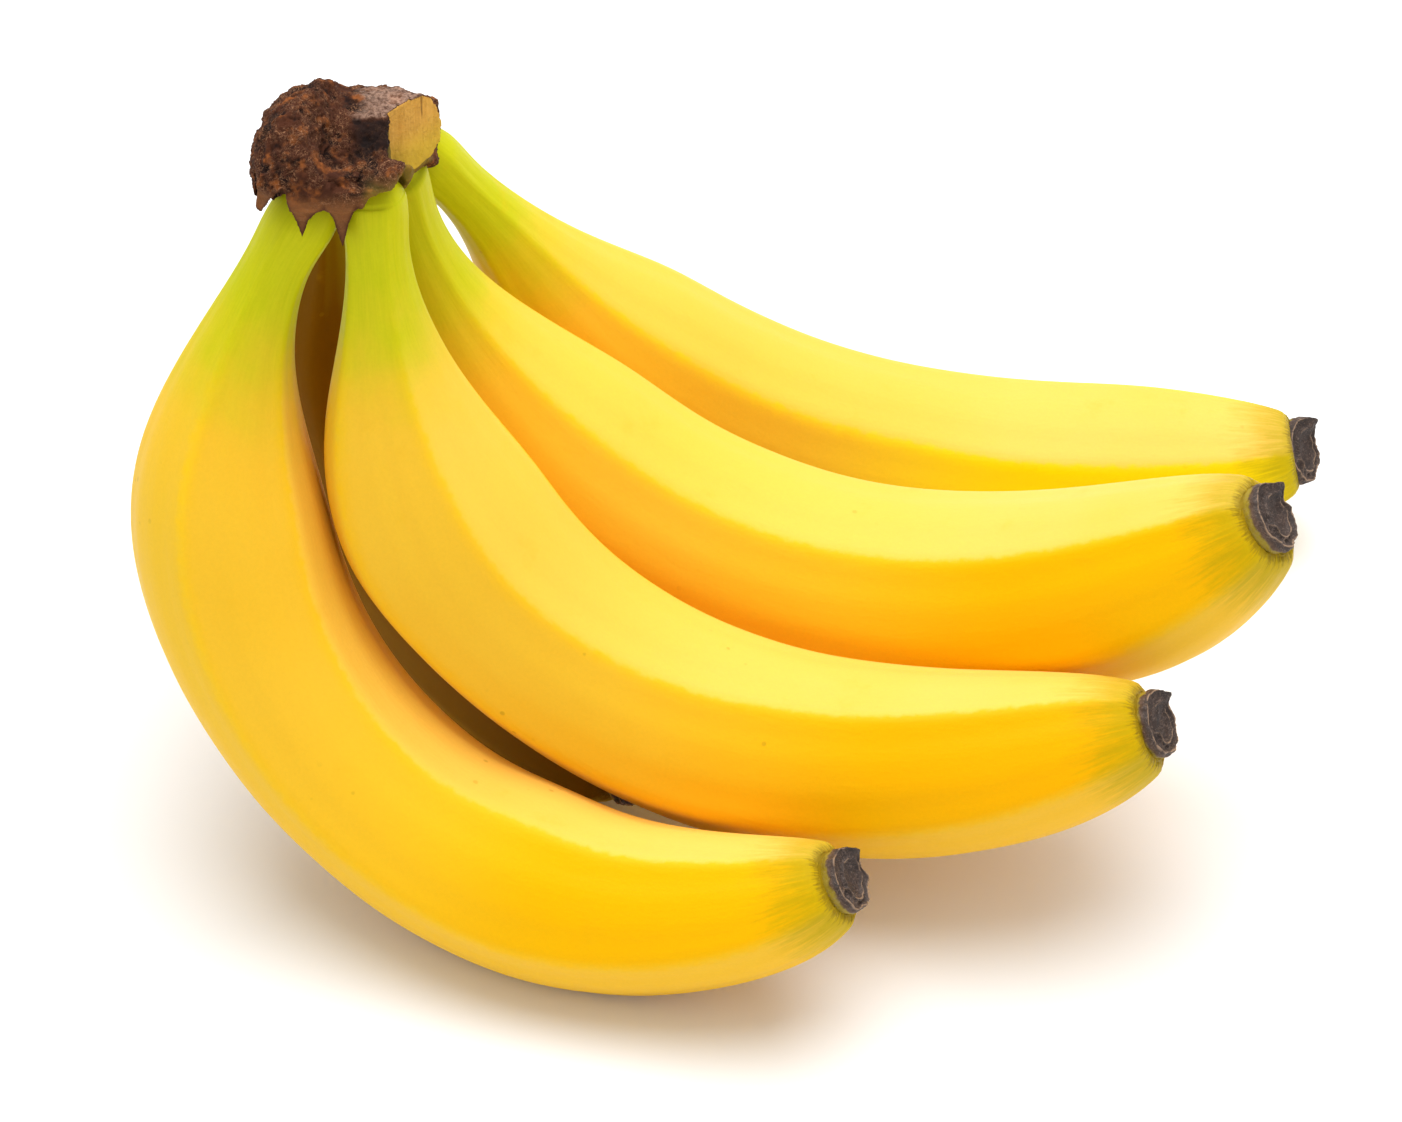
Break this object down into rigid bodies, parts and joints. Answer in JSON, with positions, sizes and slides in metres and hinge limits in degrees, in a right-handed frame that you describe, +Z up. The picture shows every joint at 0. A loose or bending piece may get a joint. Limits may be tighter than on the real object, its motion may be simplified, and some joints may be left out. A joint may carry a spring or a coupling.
{
  "type": "bunch of bananas",
  "caption": "Bunch of ripe bananas lying on its curved bellies: fruits with dry flower ends, joined at the necks by a woody crown.",
  "frame": {"origin": "middle of the footprint, on the surface that the bunch lies on", "axes": "+Z up; +X from the crown towards the tips of the fruits, the longest side of the box; -Y is the front, where the most curved fruit lies"},
  "size_m": [0.2354, 0.1733, 0.162],
  "materials": {
    "skin": "satin",
    "blossom_end": "matte",
    "crown": "matte"
  },
  "bodies": {
    "root": {"finger_front": "skin", "finger_second": "skin", "finger_third": "skin", "finger_back": "skin", "finger_under": "skin", "blossom_end_front": "blossom_end", "blossom_end_second": "blossom_end", "blossom_end_third": "blossom_end", "blossom_end_back": "blossom_end", "blossom_end_under": "blossom_end", "crown": "crown"}
  },
  "joints": []
}
